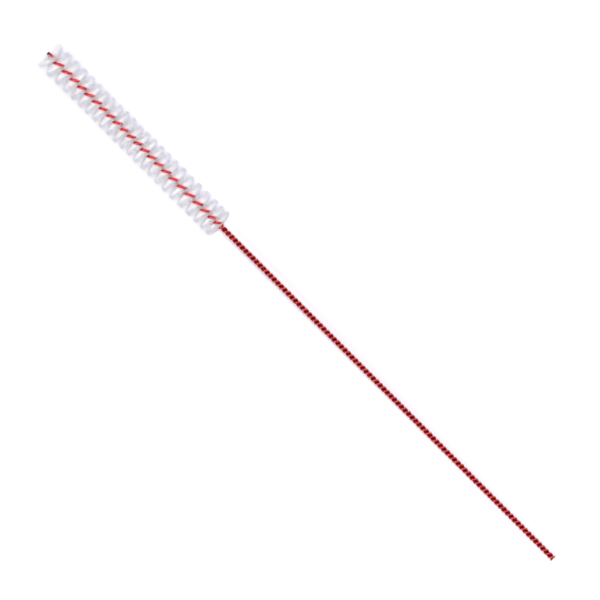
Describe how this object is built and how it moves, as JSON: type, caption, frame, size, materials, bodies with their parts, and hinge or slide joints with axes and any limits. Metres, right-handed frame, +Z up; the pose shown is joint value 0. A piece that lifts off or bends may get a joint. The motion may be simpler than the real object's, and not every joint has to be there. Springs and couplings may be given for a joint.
{
  "type": "interdental brush",
  "caption": "Slim interdental brush without a handle: two red-coated steel wires twisted together, gripping clear nylon filaments in a double spiral at one end.",
  "frame": {"origin": "on the wire axis, in the plane of the cut end of the shank", "axes": "+X along the twisted wire from the shank to the brush tip, +Z up when the brush lies flat"},
  "size_m": [0.0715, 0.0032, 0.0032],
  "materials": {
    "coated_wire": "clear red coating over bright steel, glossy",
    "filament": "clear nylon monofilament, slightly bluish white in the mass"
  },
  "bodies": {
    "root": {"wire_a": "coated_wire", "wire_b": "coated_wire", "bristle_turn_01": "filament", "bristle_turn_02": "filament", "bristle_turn_03": "filament", "bristle_turn_04": "filament", "bristle_turn_05": "filament", "bristle_turn_06": "filament", "bristle_turn_07": "filament", "bristle_turn_08": "filament", "bristle_turn_09": "filament", "bristle_turn_10": "filament", "bristle_turn_11": "filament", "bristle_turn_12": "filament"}
  },
  "joints": []
}
